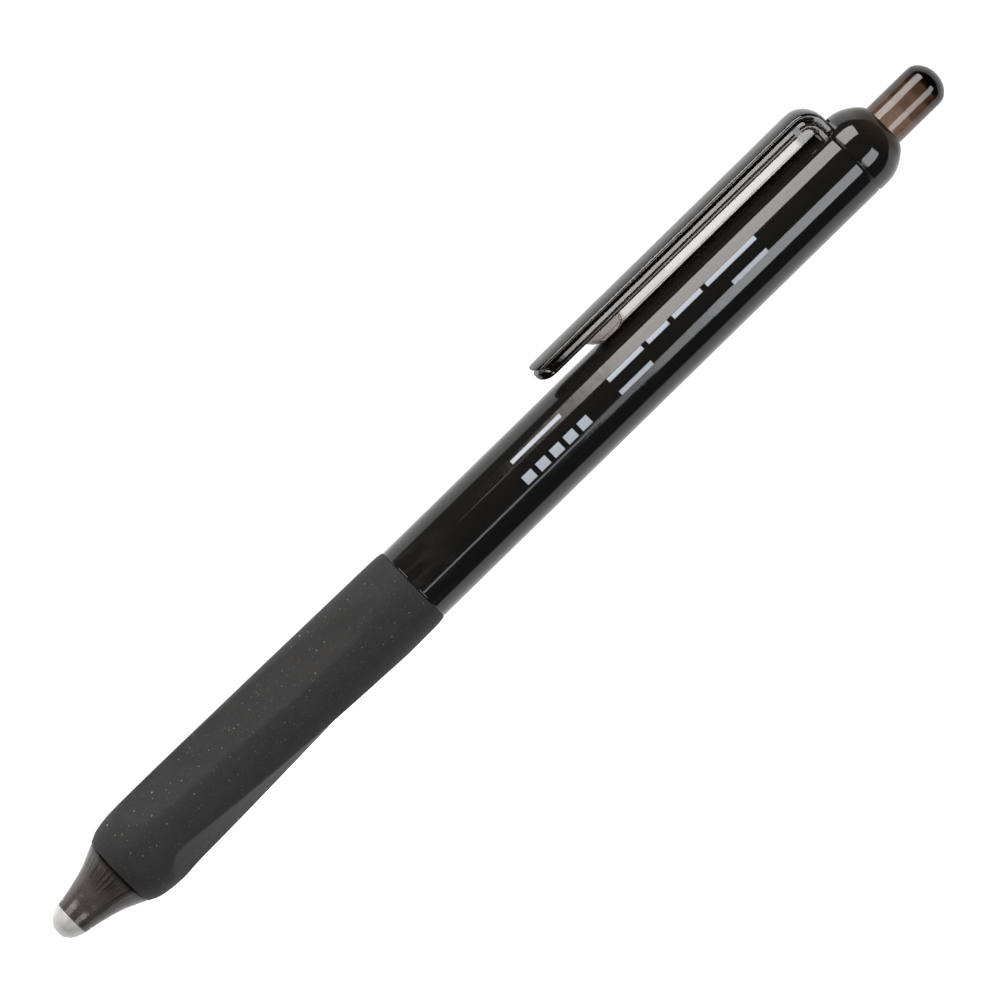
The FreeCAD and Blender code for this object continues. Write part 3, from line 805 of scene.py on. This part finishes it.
def softbox(name, angle, width_deg, x0, x1, radiance, colour, dist=0.6, turn=0.0):
    """Area light at an angle off the view axis (plus is towards the clip's side), from x0 to x1 along the pen."""
    a = math.radians(angle)
    d = C * math.cos(a) + P * math.sin(a)
    size_y = 2 * dist * math.tan(math.radians(width_deg / 2))
    size_x = x1 - x0
    li = bpy.data.lights.new(name, "AREA")
    li.shape = "RECTANGLE"
    li.size = size_x
    li.size_y = size_y
    li.energy = radiance * math.pi * size_x * size_y
    li.color = colour
    ob = bpy.data.objects.new(name, li)
    bpy.context.scene.collection.objects.link(ob)
    z = d
    x = Vector((1, 0, 0))
    y = z.cross(x)
    pos = Vector(((x0 + x1) / 2, AXIS_Y, AXIS_Z)) + d * dist
    m = Matrix(((x.x, y.x, z.x, pos.x), (x.y, y.y, z.y, pos.y), (x.z, y.z, z.z, pos.z), (0, 0, 0, 1)))
    ob.matrix_world = m @ Matrix.Rotation(math.radians(turn), 4, "Z")
    return ob


WARM, COOL = (1.0, 0.965, 0.93), (0.94, 0.965, 1.0)
softbox("soft_upper", 50.5, 35, -0.46, -0.034, 8.0, WARM)
softbox("soft_upper_end1", 50.5, 34, -0.034, -0.026, 5.6, WARM)
softbox("soft_upper_end2", 50.0, 32, -0.026, -0.018, 3.0, WARM)
softbox("soft_upper_end3", 48.5, 28, -0.018, -0.010, 1.1, WARM)
softbox("soft_upper_line", 34.8, 2.0, -0.008, 0.004, 2.6, WARM)
softbox("soft_upper_front", 44.0, 38, 0.20, 0.36, 6.5, (1.0, 0.93, 0.87))
softbox("soft_lower", -37.5, 27, -0.46, -0.055, 6.0, COOL)
softbox("soft_lower_end1", -37.0, 23, -0.055, -0.040, 4.2, COOL)
softbox("soft_lower_end2", -36.0, 17, -0.040, -0.024, 2.6, COOL)
softbox("soft_lower_front", -37.0, 30, 0.20, 0.36, 6.0, (1.0, 0.95, 0.90))
softbox("soft_lower_strip", -34, 5, -0.024, 0.07, 3.2, COOL)

world = bpy.data.worlds.new("studio")
bpy.context.scene.world = world
world.use_nodes = True
wn, wl = world.node_tree.nodes, world.node_tree.links
bg = wn["Background"]
tc = wn.new("ShaderNodeTexCoord")
dot = wn.new("ShaderNodeVectorMath"); dot.operation = "DOT_PRODUCT"
dot.inputs[1].default_value = tuple(C)
wl.new(tc.outputs["Generated"], dot.inputs[0])
grad = wn.new("ShaderNodeMapRange")
grad.inputs["From Min"].default_value = -0.06
grad.inputs["From Max"].default_value = 0.02
grad.inputs["To Min"].default_value = 1.25
grad.inputs["To Max"].default_value = 0.03
wl.new(dot.outputs["Value"], grad.inputs["Value"])
lp = wn.new("ShaderNodeLightPath")
mixw = wn.new("ShaderNodeMix"); mixw.data_type = "FLOAT"
wl.new(lp.outputs["Is Camera Ray"], mixw.inputs["Factor"])
wl.new(grad.outputs["Result"], mixw.inputs["A"])
mixw.inputs["B"].default_value = 1.0
wl.new(mixw.outputs["Result"], bg.inputs["Strength"])
bg.inputs["Color"].default_value = (1, 1, 1, 1)

fm = bpy.data.materials.new("floor_white")
fm.use_nodes = True
fn, fl = fm.node_tree.nodes, fm.node_tree.links
fb = fn["Principled BSDF"]
fb.inputs["Base Color"].default_value = (0.86, 0.86, 0.86, 1)
fb.inputs["Roughness"].default_value = 0.9
fb.inputs["Specular IOR Level"].default_value = 0.0
fb.inputs["Emission Color"].default_value = (1, 1, 1, 1)
fb.inputs["Emission Strength"].default_value = 1.0
bpy.ops.mesh.primitive_plane_add(size=12, location=(0, 0, -0.00005))
floor = bpy.context.object
floor.name = "floor"
floor.data.materials.append(fm)
floor.visible_glossy = False
floor.visible_shadow = False

bpy.context.scene.view_settings.view_transform = "Standard"
bpy.context.scene.view_settings.look = "None"
